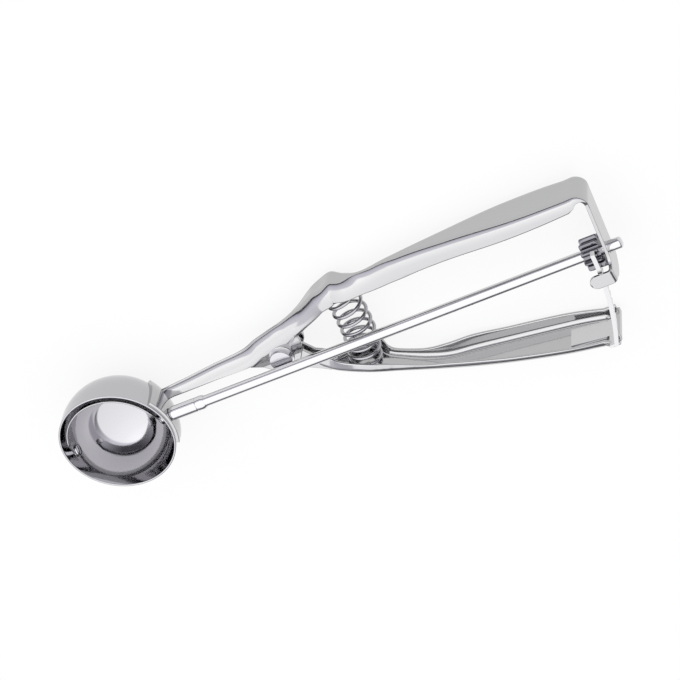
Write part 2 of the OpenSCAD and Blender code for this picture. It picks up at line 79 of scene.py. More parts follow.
# Rod, ferrule and gearing
ROD_R = 2.0
PLATE_X = 189.88
ROD_END_X = PLATE_X + 5.8
PINION_X = 185.58
PINION_WIDTH = 6.2
PINION_TEETH = 10
PITCH_R = 5.0
TIP_R = 5.85
ROOT_R = 3.9
PRESSURE = math.radians(25)
BACKLASH = 0.16

# Handles
SHEET = 1.2
PIVOT = Vector((67.5, 2.2))
EAR_R = 6.8
EAR_Z = -9.0
EAR_WIDTH = 7.6
GRIP_WIDTH = 18.0
GRIP_LENGTH = PLATE_X - PIVOT.x
REAR_DROP = 1.53
BEND_R = 3.0
GRIP_BEND = 3.4
EDGE_R = 0.52
SPRING_OD = 12.4
WIRE_D = 1.3
SPRING_TURNS = 9
SPRING_WIDTH = SPRING_OD + 2 * SHEET + 0.8
LEVER_EAR = EAR_WIDTH - 2 * SHEET - 0.3
FLAT = SHEET + 0.06

# Studio: the camera in metres, the tent's crown and the room's lit side as directions
CAMERA_LENS = 133.08
CAMERA_PLACE = (0.335827, 0.453788, 0.67352)
CAMERA_TURN = (-0.6941242, 0.1125806, -0.5044316)
TENT_CROWN = (0.03, 0.09, 0.995)
ROOM_FRONT = (-0.3, 0.95, 0)


def mix(a, b, u):
    return a + (b - a) * u


def eased(u):
    """A share from 0 to 1, made to start and end gently."""
    return u * u * (3 - 2 * u)


def neck(f):
    """x at a share of the way from the bowl's centre to the pivot."""
    return PIVOT.x * f


def grip(f):
    """x at a share of the way from the pivot to the end plate."""
    return PIVOT.x + GRIP_LENGTH * f


def drop(f):
    """How far below the rod the handles' middle lies, at a share of the grip."""
    return mix(-EAR_Z, REAR_DROP, max(0, (f - 0.27) / 0.73))


def wide(f):
    """A width as a share of the grips' widest place."""
    return GRIP_WIDTH * f


# Stations of both channels: x, outer web y, middle z, width, near flange, far flange, outer bend
FRAME_LINE = (
    (neck(0.25), 3.9, EAR_Z, EAR_WIDTH - 0.6, 2.6, 2.6, 2.4),
    (neck(0.44), 5.0, EAR_Z, EAR_WIDTH - 0.6, 3.6, 3.6, 2.8),
    (neck(0.62), 6.3, EAR_Z, EAR_WIDTH - 0.5, 4.6, 4.6, 2.9),
    (neck(0.80), 7.3, EAR_Z, EAR_WIDTH, 5.6, 5.6, BEND_R),
    (neck(0.90), 9.5, EAR_Z, EAR_WIDTH, 6.6, 6.6, BEND_R),
    (grip(0), 11.3, EAR_Z, EAR_WIDTH, 7, 7, BEND_R),
    (grip(0.05), 12.8, EAR_Z, EAR_WIDTH, 7, 7, BEND_R),
    (grip(0.11), 15.4, EAR_Z, EAR_WIDTH + 1.6, 6.8, 6.9, BEND_R),
    (grip(0.18), 19.4, EAR_Z, mix(EAR_WIDTH, SPRING_WIDTH, 0.8), 6.2, 6.6, BEND_R),
    (grip(0.24), 21.3, EAR_Z, SPRING_WIDTH, 6.2, 6.0, BEND_R),
    (grip(0.28), 19.3, -drop(0.28), mix(EAR_WIDTH, SPRING_WIDTH, 0.76), 5.8, 5.2, BEND_R),
    (grip(0.33), 20.0, -drop(0.33), wide(0.46), 6.8, 6.4, GRIP_BEND),
    (grip(0.42), 22.0, -drop(0.42), wide(0.44), 7.5, 7.5, GRIP_BEND),
    (grip(0.50), 22.95, -drop(0.50), wide(0.52), 7.0, 7.0, GRIP_BEND),
    (grip(0.60), 23.85, -drop(0.60), wide(0.64), 6.5, 6.5, GRIP_BEND),
    (grip(0.72), 24.65, -drop(0.72), wide(0.82), 6.2, 6.2, GRIP_BEND),
    (grip(0.80), 25.1, -drop(0.80), wide(0.895), 5.8, 5.8, GRIP_BEND),
    (grip(0.90), 25.6, -drop(0.90), wide(0.905), 5.2, 5.2, GRIP_BEND),
    (grip(0.972), 25.75, -drop(0.972), wide(0.87), 4.6, 4.6, GRIP_BEND),
)
LEVER_LINE = (
    (grip(0.035), -4.2, EAR_Z, LEVER_EAR, 4, 4, 1.6),
    (grip(0.07), -7.6, EAR_Z, LEVER_EAR, 4.6, 4.8, 1.8),
    (grip(0.11), -11.4, EAR_Z + 0.6, LEVER_EAR + 2.4, 5.4, 5.2, 2.4),
    (grip(0.16), -13.4, EAR_Z, mix(LEVER_EAR, SPRING_WIDTH, 0.8), 5.1, 6.4, BEND_R),
    (grip(0.205), -15.3, EAR_Z, SPRING_WIDTH, 4.7, 6.7, BEND_R),
    (grip(0.23), -16.9, EAR_Z + 0.2, mix(LEVER_EAR, SPRING_WIDTH, 0.91), 4.6, 5.8, BEND_R),
    (grip(0.25), -18.3, EAR_Z + 0.9, mix(LEVER_EAR, SPRING_WIDTH, 0.68), 4.5, 3.9, BEND_R),
    (grip(0.28), -20.4, -drop(0.28) + 0.7, mix(LEVER_EAR, SPRING_WIDTH, 0.55), 4.2, 3.1, BEND_R),
    (grip(0.35), -24.6, -drop(0.35), wide(0.54), 3.9, 4.1, GRIP_BEND),
    (grip(0.42), -27.2, -drop(0.42), wide(0.55), 4.2, 5.9, GRIP_BEND),
    (grip(0.50), -28.85, -drop(0.50), wide(0.7), 4.2, 6.7, GRIP_BEND),
    (grip(0.60), -30.8, -drop(0.60), wide(0.84), 4.0, 6.3, GRIP_BEND),
    (grip(0.72), -32.85, -drop(0.72), wide(0.96), 3.9, 6.1, GRIP_BEND),
    (grip(0.80), -34.05, -drop(0.80), wide(1.0), 3.7, 5.6, GRIP_BEND),
    (grip(0.875), -35.2, -drop(0.875), wide(0.96), 3.7, 4.9, GRIP_BEND),
)


def spline(stations, steps):
    """Catmull-Rom curve through the stations, every value of a station at once."""
    out = []
    last = len(stations) - 1
    for i in range(last):
        a, b, c, d = (stations[k] for k in (max(i - 1, 0), i, i + 1, min(i + 2, last)))
        for k in range(steps):
            u = k / steps
            out.append(tuple(
                0.5 * (2 * q + (r - p) * u + (2 * p - 5 * q + 4 * r - s) * u * u
                       + (3 * q - 3 * r + s - p) * u ** 3)
                for p, q, r, s in zip(a, b, c, d)
            ))
    return out + [stations[last]]


def arc(cx, cy, r, start, end, steps):
    """Points on an arc from one angle to another, in degrees."""
    out = []
    for k in range(steps + 1):
        a = math.radians(mix(start, end, k / steps))
        out.append((cx + r * math.cos(a), cy + r * math.sin(a)))
    return out


def strip_section(inner, outer, half, edge):
    """Section of a flat strip with broken edges, as (through, across) points."""
    section = arc(outer - edge, half - edge, edge, 0, 90, 3)
    section += arc(inner + edge, half - edge, edge, 90, 180, 3)
    section += arc(inner + edge, edge - half, edge, 180, 270, 3)
    return section + arc(outer - edge, edge - half, edge, 270, 360, 3)


def along(path):
    """Each station of a path with the path's direction there."""
    last = len(path) - 1
    for i, station in enumerate(path):
        ahead, behind = path[min(i + 1, last)], path[max(i - 1, 0)]
        yield station, Vector((ahead[0] - behind[0], ahead[1] - behind[1])).normalized()


# ---------------------------------------------------------------- making meshes

def loft(rings, caps=True):
    """Closed rings of equal length joined in a row, as points and faces."""
    count = len(rings[0])
    points = [p for ring in rings for p in ring]
    faces = []
    for i in range(len(rings) - 1):
        for j in range(count):
            a, b = i * count + j, i * count + (j + 1) % count
            faces.append((a, b, b + count, a + count))
    if caps:
        faces.append(tuple(range(count))[::-1])
        faces.append(tuple(range(len(points) - count, len(points))))
    return points, faces


def turned(profile, steps=96):
    """A body turned about the tool's X axis, from (x, radius) points whose ends lie on the axis."""
    rings = []
    for x, r in profile[1:-1]:
        rings.append([
            (x, r * math.cos(2 * math.pi * k / steps), r * math.sin(2 * math.pi * k / steps))
            for k in range(steps)
        ])
    points, faces = loft(rings, caps=False)
    for (x, _), ring in ((profile[0], 0), (profile[-1], len(rings) - 1)):
        points.append((x, 0, 0))
        for k in range(steps):
            faces.append((ring * steps + k, ring * steps + (k + 1) % steps, len(points) - 1))
    return points, faces


def flat_plate(outlines, thickness, edge, place):
    """A blanked plate with broken edges: outlines in x and y, then put where place takes it."""
    curve = bpy.data.curves.new("blank", "CURVE")
    curve.dimensions = "2D"
    curve.fill_mode = "BOTH"
    curve.extrude = thickness / 2 - edge
    curve.bevel_depth = edge
    curve.bevel_resolution = 2
    curve.offset = -edge
    for outline in outlines:
        line = curve.splines.new("POLY")
        line.points.add(len(outline) - 1)
        for point, (x, y) in zip(line.points, outline):
            point.co = (x, y, 0, 1)
        line.use_cyclic_u = True
    blank = bpy.data.objects.new("blank", curve)
    mesh = bpy.data.meshes.new_from_object(blank)
    points = [tuple(place @ v.co) for v in mesh.vertices]
    faces = [tuple(f.vertices) for f in mesh.polygons]
    bpy.data.objects.remove(blank)
    bpy.data.curves.remove(curve)
    bpy.data.meshes.remove(mesh)
    return points, faces


def joined(*shells):
    """Several shells as one."""
    points, faces = [], []
    for more, polygons in shells:
        faces += [tuple(i + len(points) for i in f) for f in polygons]
        points += more
    return points, faces


def dress(mesh, sharp_above=40):
    """Merge the seams, turn the faces outwards and shade smooth up to the given angle."""
    shape = bmesh.new()
    shape.from_mesh(mesh)
    bmesh.ops.remove_doubles(shape, verts=shape.verts, dist=2e-6)
    bmesh.ops.dissolve_degenerate(shape, edges=shape.edges, dist=1e-6)
    bmesh.ops.recalc_face_normals(shape, faces=shape.faces)
    shape.to_mesh(mesh)
    shape.free()
    mesh.shade_smooth()
    mesh.set_sharp_from_angle(angle=math.radians(sharp_above))


def add_piece(name, shell, body, material, nodes=()):
    """One finished piece: its mesh in the row's frame, its body, its material and the CAD nodes it stands
    for, which are hidden.
    """
    mesh = bpy.data.meshes.new(name)
    mesh.from_pydata([TO_ROW @ Vector(p) for p in shell[0]], [], shell[1])
    dress(mesh)
    return show(name, mesh, body, material, nodes)


def show(name, mesh, body, material, nodes=()):
    """Put a mesh that is in the row's frame into the scene, on its body and with its material, hiding the
    CAD nodes it stands for.
    """
    obj = bpy.data.objects.new(name, mesh)
    bpy.context.scene.collection.objects.link(obj)
    mesh.materials.clear()
    mesh.materials.append(material)
    even = obj.modifiers.new("even normals", "WEIGHTED_NORMAL")
    even.keep_sharp = True
    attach(obj, body)
    if nodes:
        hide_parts(*nodes)
    return obj


# ---------------------------------------------------------------- materials

def colour(code):
    """An sRGB hex code as the linear colour that shaders take."""
    channels = [int(code[i:i + 2], 16) / 255 for i in (1, 3, 5)]
    linear = [c / 12.92 if c <= 0.04045 else ((c + 0.055) / 1.055) ** 2.4 for c in channels]
    return (*linear, 1.0)


def add(tree, kind, inputs=None, **settings):
    """Add a node; each input is a plain value or the socket that feeds it."""
    made = tree.nodes.new(kind)
    for key, value in settings.items():
        setattr(made, key, value)
    for key, value in (inputs or {}).items():
        if isinstance(value, bpy.types.NodeSocket):
            tree.links.new(value, made.inputs[key])
        else:
            made.inputs[key].default_value = value
    return made


def steel(name, tint, rough, marks, mark_depth, smear=0.05):
    """Bright stainless steel. marks is the size in mm of its finishing marks along X, Y and Z."""
    made = bpy.data.materials.new(name)
    made.use_nodes = True
    tree = made.node_tree
    tree.nodes.clear()
    place = add(tree, "ShaderNodeTexCoord").outputs["Object"]
    per_mm = add(tree, "ShaderNodeVectorMath", {0: place, 1: tuple(1 / (m * MM) for m in marks)},
                 operation="MULTIPLY").outputs[0]
    grain = add(tree, "ShaderNodeTexNoise", {"Vector": per_mm, "Scale": 1.0, "Detail": 3.0})
    # Wiping marks and old fingerprints, some 15 mm across, dull the polish a little
    smudge = add(tree, "ShaderNodeTexNoise", {"Vector": place, "Scale": 65.0, "Detail": 4.0,
                                              "Roughness": 0.6})
    dull = add(tree, "ShaderNodeMapRange", {
        "Value": smudge.outputs["Fac"], "From Min": 0.42, "From Max": 0.72,
        "To Min": rough, "To Max": rough + smear})
    ground = add(tree, "ShaderNodeMapRange", {
        "Value": grain.outputs["Fac"], "From Min": 0.3, "From Max": 0.7,
        "To Min": -0.02, "To Max": 0.03})
    finish = add(tree, "ShaderNodeMath", {0: dull.outputs["Result"], 1: ground.outputs["Result"]},
                 operation="ADD", use_clamp=True)
    bump = add(tree, "ShaderNodeBump", {"Height": grain.outputs["Fac"], "Strength": 0.35,
                                        "Distance": mark_depth * MM})
    shader = add(tree, "ShaderNodeBsdfPrincipled", {
        "Base Color": colour(tint), "Metallic": 1.0, "Roughness": finish.outputs[0],
        "Normal": bump.outputs["Normal"]})
    out = add(tree, "ShaderNodeOutputMaterial")
    tree.links.new(shader.outputs["BSDF"], out.inputs["Surface"])
    return made


# Stainless sheet, pressed and then buffed along its length to a mirror
BUFFED_SHEET = steel("buffed_stainless_sheet", "#B8B8B9", 0.09, (9, 0.5, 0.5), 0.004)
# Stainless cup, drawn and polished on a lathe
SPUN_CUP = steel("spun_polished_stainless", "#BBBABD", 0.05, (3, 3, 0.5), 0.004)
# Cold-drawn rod: fine die lines run along it
DRAWN_ROD = steel("drawn_stainless_rod", "#D2D1D3", 0.08, (14, 0.35, 0.35), 0.005)
# Hobbed gear steel; its tint is darkened all over as painted shade, for the shade the pinion sits in
# between the end plate, the tongue and the rack
SHADE_DARKENED_GEAR = steel("gear_steel_painted_shade", "#828187", 0.13, (6, 0.4, 0.4), 0.01)
# Blanked strip, tumbled to break its edges
BLANKED_STRIP = steel("tumbled_stainless_strip", "#CBCBCC", 0.14, (0.8, 0.8, 0.8), 0.008)
# Hard-drawn spring wire
SPRING_WIRE = steel("bright_spring_wire", "#A9A8AC", 0.08, (0.5, 0.5, 0.5), 0.004)
# Headed and turned pins
TURNED_PIN = steel("turned_stainless", "#C4C3C7", 0.09, (0.6, 0.6, 0.6), 0.005)


# ---------------------------------------------------------------- bowl and its parts

def bowl():
    """Drawn cup: a hemisphere with a straight collar and a rounded rim."""
    rim = 0.35
    inner = BOWL_R - BOWL_WALL
    profile = [(0, -BOWL_R)] + arc(0, 0, BOWL_R, -90, 0, 40)[1:]
    profile += [(BOWL_R, BOWL_COLLAR * f) for f in (0.33, 0.66)]
    profile += arc(BOWL_R - rim, BOWL_COLLAR - rim, rim, 0, 90, 4)
    profile += arc(inner + rim, BOWL_COLLAR - rim, rim, 90, 180, 4)
    profile += [(inner, BOWL_COLLAR * f) for f in (0.66, 0.33)]
    profile += arc(0, 0, inner, 0, -90, 40)
    # Turned about X, then stood up so that the axis is the bowl's own
    points, faces = turned([(z, r) for r, z in profile], steps=192)
    points = [(-z, y, x) for x, y, z in points]
    return add_piece("scoop_bowl", (points, faces), "frame", SPUN_CUP, ("bowl",))


def saddle():
    """Curved plate on the bowl's outside that carries the neck."""
    outer = BOWL_R + SADDLE_WALL
    top = BOWL_COLLAR - 0.8
    steps = 24
    rings = []
    half = SADDLE_WRAP
    for k in range(-2, steps + 3):
        angle = math.radians(mix(-half, half, min(max(k, 0), steps) / steps))
        inset = 0.3 if k in (-2, steps + 2) else 0.1 if k in (-1, steps + 1) else 0
        low = SADDLE_DROP - inset
        section = [(BOWL_R - 0.05, top - inset)]
        section += arc(outer - 0.35 - inset, top - 0.35 - inset, 0.35, 90, 0, 4)
        section += [(outer - inset, 0)]
        for i in range(1, 17):
            z = -low * i / 16
            section.append((math.sqrt((outer - inset) ** 2 - z * z), z))
        section += [(math.sqrt((BOWL_R + 0.3) ** 2 - (low + 0.2) ** 2), -low - 0.2)]
        for i in range(16, -1, -1):
            z = -low * i / 16
            section.append((math.sqrt((BOWL_R - 0.05) ** 2 - z * z), z))
        rings.append([(r * math.cos(angle), r * math.sin(angle), z) for r, z in section])
    return add_piece("bowl_saddle_plate", loft(rings), "frame", BUFFED_SHEET,
                     ("bowl_saddle",))


def blade():
    """Half-round wiper strip, narrower at its eyes and with its edges broken."""
    inner = BLADE_R - BLADE_WALL
    eye = BLADE_HALF * 0.62
    taper = BLADE_HALF * 1.6
    edge = 0.22
    rings = []
    reach = math.degrees(math.asin(eye / BLADE_R))
    start, end = 180 + reach, -reach
    steps = 96
    for k in range(steps + 1):
        angle = math.radians(mix(start, end, k / steps))
        y = BLADE_R * math.sin(angle)
        if y < 0:
            half = max(math.sqrt(max(eye * eye - y * y, 0)), 0.5)
        elif y < taper:
            half = mix(eye, BLADE_HALF, eased(y / taper))
        else:
            half = BLADE_HALF
        section = strip_section(inner, BLADE_R, half, edge)
        rings.append([(r * math.cos(angle), r * math.sin(angle), z) for r, z in section])
    return add_piece("sweep_blade_strip", loft(rings), "shaft", BUFFED_SHEET,
                     ("sweep_blade",))


def blade_pin():
    """Pin through the bowl's wall, headed on both sides."""
    head = PIN_R + 0.9
    outer = -BOWL_R - 0.01
    inner = 0.15 - (BLADE_R - BLADE_WALL)
    profile = [(outer - 1.1, 0)]
    profile += [(outer - 1.08, 0.8), (outer - 0.95, head - 0.6)]
    profile += [(outer - 0.6, head - 0.15), (outer - 0.3, head), (outer, head), (outer, PIN_R)]
    profile += [(inner, PIN_R), (inner, head), (inner + 0.3, head)]
    profile += [(inner + 0.55, head - 0.2), (inner + 0.68, head - 0.6), (inner + 0.7, 0)]
    return add_piece("blade_pivot_pin", turned(profile, 48), "frame", TURNED_PIN,
                     ("blade_pin",))


def rod():
    """Rod with a headed spigot in the blade's eye and a chamfered rear end."""
    spigot = ROD_R - 0.5
    inner = BLADE_R - BLADE_WALL
    shoulder = BLADE_R + 0.02
    profile = [(inner - 0.7, 0), (inner - 0.7, spigot - 0.2), (inner - 0.6, spigot + 0.2),
               (inner - 0.35, spigot + 0.45), (inner - 0.13, spigot + 0.5), (inner - 0.13, spigot),
               (shoulder, spigot), (shoulder, ROD_R)]
    profile += [(x, ROD_R) for x in range(25, 196, 10)]
    profile += [(ROD_END_X - 0.55, ROD_R), (ROD_END_X - 0.4, ROD_R - 0.05),
                (ROD_END_X - 0.12, ROD_R - 0.3), (ROD_END_X, ROD_R - 0.6), (ROD_END_X, 0)]
    return add_piece("drive_rod_bar", turned(profile), "shaft", DRAWN_ROD,
                     ("drive_rod",))


def ferrule():
    """Sleeve with a crimped groove, on the rod where it leaves the bowl."""
    start = BOWL_R + SADDLE_WALL + 0.3
    outer = ROD_R + 0.55
    end = start + 13.5
    bore = ROD_R - 0.1
    profile = [(start, 0), (start, bore), (start + 0.02, outer - 0.25), (start + 0.1, outer - 0.08),
               (start + 0.3, outer), (end - 4.1, outer), (end - 3.8, outer - 0.03),
               (end - 3.55, outer - 0.2), (end - 3.3, outer - 0.03), (end - 3.0, outer),
               (end - 1.4, outer), (end - 1.0, outer - 0.06), (end - 0.3, ROD_R + 0.25),
               (end, ROD_R + 0.1), (end, bore), (end, 0)]
    return add_piece("crimped_ferrule", turned(profile), "shaft", DRAWN_ROD,
                     ("rod_ferrule",))


# ---------------------------------------------------------------- handles

# Depths below the frame's web, in mm: where its drawing in ends, and the middle of the band's step
DRAWN_DEPTH = 7.0
STEP_DEPTH = 6.1
STEP_HALF = 0.45
BAND_HEIGHT = 0.5
LEVER_SPLAY = 0.14


def band(depth, bend, height):
    """How far a flange stands proud at a depth below the web: a rounded band with a step under it."""
    step = min((STEP_DEPTH + STEP_HALF - depth) / (2 * STEP_HALF), 1)
    if step <= 0:
        return 0.0
    if step < 1:
        return height * 0.8 * eased(step)
    u = min(max((depth - bend) / (STEP_DEPTH - STEP_HALF - bend), 0), 1)
    return height * (0.8 * eased(u) + 0.3 * math.sin(math.pi * u) ** 2)


def flange_rows(tip, bend):
    """Depths of a flange's rows from its edge up to the bend, close together at the band's step."""
    high = max(min(STEP_DEPTH + 0.6, tip - 0.12), mix(tip, bend, 0.2))
    low = max(min(STEP_DEPTH - 0.6, high - 0.5), mix(high, bend, 0.5))
    rows = [mix(tip, high, f) for f in (0.06, 0.5)]
    rows += [mix(high, low, k / 6) for k in range(7)]
    return rows + [mix(low, bend, f) for f in (0.25, 0.5, 0.75, 0.94)]


def channel_ring(station, inward, crown=0.0, pinch=0.0, proud=0.0, splay=0.0):
    """One closed U section of bent sheet, with rounded bends and broken edges.

    pinch is the share by which the section draws in towards its web, so that its sides flare;
    proud is the height of the band that both flanges carry above the pivot ears; splay is how far
    the near flange opens per millimetre of its depth.
    """
    x, y, mid, width, near, far, bend = station
    h = width / 2
    bend = min(bend, h - 0.2)
    inside = max(bend - SHEET, 0.03)
    flat = h - bend
    tip_n = min(EDGE_R, max((near - SHEET - inside) * 0.9, 0.02))
    tip_f = min(EDGE_R, max((far - SHEET - inside) * 0.9, 0.02))
    web = [-1, -0.96, -0.7, -0.35, 0, 0.35, 0.7, 0.96, 1]

    def web_line(half, depth, order):
        return [(depth - crown * (1 - s * s), s * half) for s in web[::order]]

    out = arc(near - tip_n, h - tip_n, tip_n, 0, 90, 3)
    out += [(d, h + band(d, bend, proud)) for d in flange_rows(near - tip_n, bend)]
    out += arc(bend, h - bend, bend, 90, 180, 10)
    out += web_line(flat, 0, -1)[1:-1]
    out += arc(bend, bend - h, bend, 180, 270, 10)
    out += [(d, -h - band(d, bend, proud)) for d in flange_rows(far - tip_f, bend)[::-1]]
    out += arc(far - tip_f, tip_f - h, tip_f, 270, 360, 3)
    out += arc(far - tip_f, SHEET - tip_f - h, tip_f, 0, 90, 3)
    out += [(mix(far - tip_f, SHEET + inside, f), SHEET - h) for f in (0.35, 0.65)]
    out += arc(SHEET + inside, SHEET + inside - h, inside, 270, 180, 8)
    out += web_line(h - SHEET - inside, SHEET, 1)[1:-1]
    out += arc(SHEET + inside, h - SHEET - inside, inside, 180, 90, 8)
    out += [(mix(SHEET + inside, near - tip_n, f), h - SHEET) for f in (0.35, 0.65)]
    out += arc(near - tip_n, h - SHEET + tip_n, tip_n, 270, 360, 3)
    out = [(d, a + splay * (d - near / 2) * max(a / h, 0)) for d, a in out]
    drawn = [(d, a * (1 - pinch * max(1 - d / DRAWN_DEPTH, 0) ** 2)) for d, a in out]
    return [(x + inward[0] * d, y + inward[1] * d, mid + a) for d, a in drawn]


# How far the frame's web draws in, from the pivot over the spring's hump to the grip
PINCH = ((-0.5, 0.55), (-0.2, 0.5), (0.02, 0.5), (0.11, 0.5), (0.17, 0.42), (0.21, 0.3),
         (0.255, 0.45), (0.31, 0.66), (0.38, 0.45), (0.46, 0.25), (0.62, 0.12), (0.9, 0.0), (2.0, 0.0))


def pinch_at(x):
    """The share by which the frame's web draws in at x."""
    f = (x - PIVOT.x) / GRIP_LENGTH
    for (a, low), (b, high) in zip(PINCH, PINCH[1:]):
        if a <= f < b:
            return mix(low, high, eased((f - a) / (b - a)))
    return 0.0


def lever_rings(path):
    """The lever's sections; behind the spring the near flange opens a little."""
    rings = []
    for station, run in along(path):
        x = station[0]
        splay = LEVER_SPLAY * max(0, min(1, (x - 98) / 12, (RACK_FOOT_X - 3 - x) / 5))
        rings.append(channel_ring(station, (-run.y, run.x), splay=splay))
    return rings


# Lower outline of the frame's ears about the pivot, besides their round ends
EAR_OUTLINE = [(-12, 0.2), (-8, -1.6), (-0.66 * EAR_R, -0.75 * EAR_R), (0.8 * EAR_R, -0.6 * EAR_R),
               (8.2, -0.4), (9.6, 3.6), (9, 6.5), (4, 6.4), (-4, 4.6), (-12, 2.4)]


def ear_low(x):
    """Lowest y of the frame's pivot ear at x, or None beside it."""
    dx = x - PIVOT.x
    lows = []
    if abs(dx) < EAR_R:
        lows.append(-math.sqrt(EAR_R * EAR_R - dx * dx))
    for (ax, ay), (bx, by) in zip(EAR_OUTLINE, EAR_OUTLINE[1:] + EAR_OUTLINE[:1]):
        if min(ax, bx) <= dx < max(ax, bx):
            lows.append(mix(ay, by, (dx - ax) / (bx - ax)))
    return PIVOT.y + min(lows) if lows else None


def frame_rings(path):
    """The frame's sections: upright round the pivot, where both flanges reach down to the ears."""
    rings = []
    for (x, y, mid, width, near, far, bend), run in along(path):
        square = eased(min(max((abs(x - PIVOT.x) - 13) / 9, 0), 1))
        inward = Vector((0, -1)).lerp(Vector((run.y, -run.x)), square).normalized()
        pinch = pinch_at(x)
        y += 0.69 * pinch * (width / 2 - 0.44 * bend)
        low = ear_low(x)
        if low is not None:
            near = far = max(near, y - low)
        crown = 0.35 * max(0, min(1, (80 - x) / 20))
        proud = BAND_HEIGHT * max(0, min(1, (PIVOT.x + 26 - x) / 16, (x - 24) / 10))
        rings.append(channel_ring((x, y, mid, width, near, far, bend), inward, crown, pinch, proud))
    return rings


# The end plate leans over the rod, with a rounded corner above it
LEAN = math.radians(6.6)
CORNER_R = 4.5
CORNER_TAIL = 1.5
SEAM = 0.03


def corner_path(last):
    """Stations from the web's end round the corner and down into the end plate."""
    rise = 4
    turn = 90 + rise + math.degrees(LEAN)
    cy = last[1] + 0.13 - CORNER_R
    cx = PLATE_X + (SHEET + SEAM - CORNER_R) / math.cos(LEAN) + cy * math.tan(LEAN)
    out = []
    plate_width = 11.5
    steps = 20
    for k in range(steps + 1):
        u = k / steps
        a = math.radians(90 + rise - turn * u)
        bend = mix(GRIP_BEND, 0.3, min(1, u * 1.2))
        flange = max(FLAT, bend + 0.06)
        out.append((cx + CORNER_R * math.cos(a), cy + CORNER_R * math.sin(a),
                    mix(last[2], -REAR_DROP, u), mix(last[3], plate_width, u), flange, flange, bend))
    end = out[-1]
    tail = (end[0] - CORNER_TAIL * math.sin(LEAN), end[1] - CORNER_TAIL * math.cos(LEAN)) + end[2:]
    top = (cx - PLATE_X) * math.sin(LEAN) + cy * math.cos(LEAN) - CORNER_TAIL + 0.1
    return out + [tail], top


def end_plate(top):
    """Plate with the rod's bearing hole, in its own plane: x runs down it and y across."""
    near = -REAR_DROP + 5.75 - SEAM
    far = -REAR_DROP - 5.75 + SEAM
    bottom = 11
    tongue_y, half, tab_z = 5.9, 2.5 - SEAM, 8.2
    outline = [(-top, near), (-top, far), (bottom - 4, far)]
    outline += [(bottom - 2.6, far + 0.7), (bottom - 1.3, far + 2.2), (bottom - 0.4, far + 4.2),
                (bottom, far + 6.2), (bottom - 0.2, near - 2), (bottom - 1.2, near)]
    outline += [(tongue_y + half, tab_z), (tongue_y - half, tab_z)]
    outline += [(tongue_y - half - 0.2, near + 2.6), (tongue_y - half - 1.2, near + 0.9),
                (tongue_y - half - 2.6, near), (0, near)]
    hole = arc(0, 0, ROD_R + 0.06, 0, 352.5, 47)
    lie = Matrix.Rotation(math.radians(-90) - LEAN, 4, "Z") @ Matrix.Rotation(math.radians(90), 4, "X")
    place = Matrix.Translation((PLATE_X, 0, 0)) @ lie @ Matrix.Translation((0, 0, -SHEET / 2))
    return flat_plate([outline, hole], SHEET, 0.2, place)


def tongue():
    """Guide tongue: the plate's tab bent over above the rack, with a round end."""
    z = 7.9 + SHEET / 2
    half = 2.5
    y = -5.9
    bend = 1.0
    x_plate = PLATE_X + SHEET / 2 + y * math.tan(LEAN)
    line = [(x_plate, 7.6)] + arc(x_plate - bend, z - bend, bend, 0, 90, 8)
    tip = PLATE_X + 0.4 - 8.6
    line += [(mix(x_plate - bend, tip + half, f), z) for f in (0.3, 0.7, 1)]
    line += [(tip + half - half * math.sin(math.radians(a)), z) for a in range(6, 91, 6)]
    edge = 0.3
    t = SHEET / 2
    rings = []
    for (x, height), run in along(line):
        past = min(max((tip + half - x) / half, 0), 1)
        w = max(half * math.sqrt(max(1 - past * past, 0)), 0.35)
        rings.append([(x - run.y * d, y + s, height + run.x * d)
                      for d, s in strip_section(-t, t, w, edge)])
    return loft(rings)


def frame_handle():
    """Stamped channel from the neck over the ears and the grip to the end plate and its tongue."""
    path = [s for s in spline(FRAME_LINE, 24) if s[0] > 23]
    corner, top = corner_path(FRAME_LINE[-1])
    rings = frame_rings(path + corner)
    # The neck butts onto the saddle's round outside
    seat = BOWL_R + 0.6
    first = [(math.sqrt(max(seat * seat - y * y - z * z, 0)), y - 0.35, z) for _, y, z in rings[0]]
    shell = joined(loft([first] + rings), end_plate(top), tongue())
    return add_piece("frame_channel", shell, "frame", BUFFED_SHEET,
                     ("frame_handle",))


# Rear end of the lever, round the rack's foot
RACK_FOOT_X = 178.097
LIP_X = RACK_FOOT_X + 0.9
NOTCH_X = RACK_FOOT_X - 2.35


def lever_ears():
    """Two ears that turn inside the frame's."""
    outline = arc(0, 0, EAR_R - 1.2, 25, 255, 40)
    outline += [(0.5, -6.2), (5, -8.6), (9.6, -11.4), (12.4, -13.4), (12.8, -9.6), (9.6, -4.6)]
    shells = []
    for z in (EAR_Z - LEVER_EAR / 2, EAR_Z + LEVER_EAR / 2 - SHEET):
        place = Matrix.Translation((PIVOT.x, PIVOT.y, z + SHEET / 2))
        shells.append(flat_plate([outline], SHEET - 0.04, 0.2, place))
    return joined(*shells)


def lever_lip(end):
    """The floor's rear end, bent up into a low lip beside the rack."""
    low = end[2] - end[3] / 2 + 0.1
    high = 3.85
    bend = 0.9
    y = end[1] + SHEET / 2
    line = [(LIP_X - 4, y)] + arc(LIP_X + SHEET / 2 - bend, y + bend, bend, 270, 360, 8)
    line += [(LIP_X + SHEET / 2, end[1] + 3.1 - 0.3)]
    t = SHEET / 2 - 0.02
    middle = (low + high) / 2
    rings = []
    for (x, height), run in along(line):
        rings.append([(x + run.y * d, height - run.x * d, middle + s)
                      for d, s in strip_section(-t, t, (high - low) / 2, 0.25)])
    rings.append([(x, y + 0.15, z) for x, y, z in rings[-1]])
    return loft(rings)


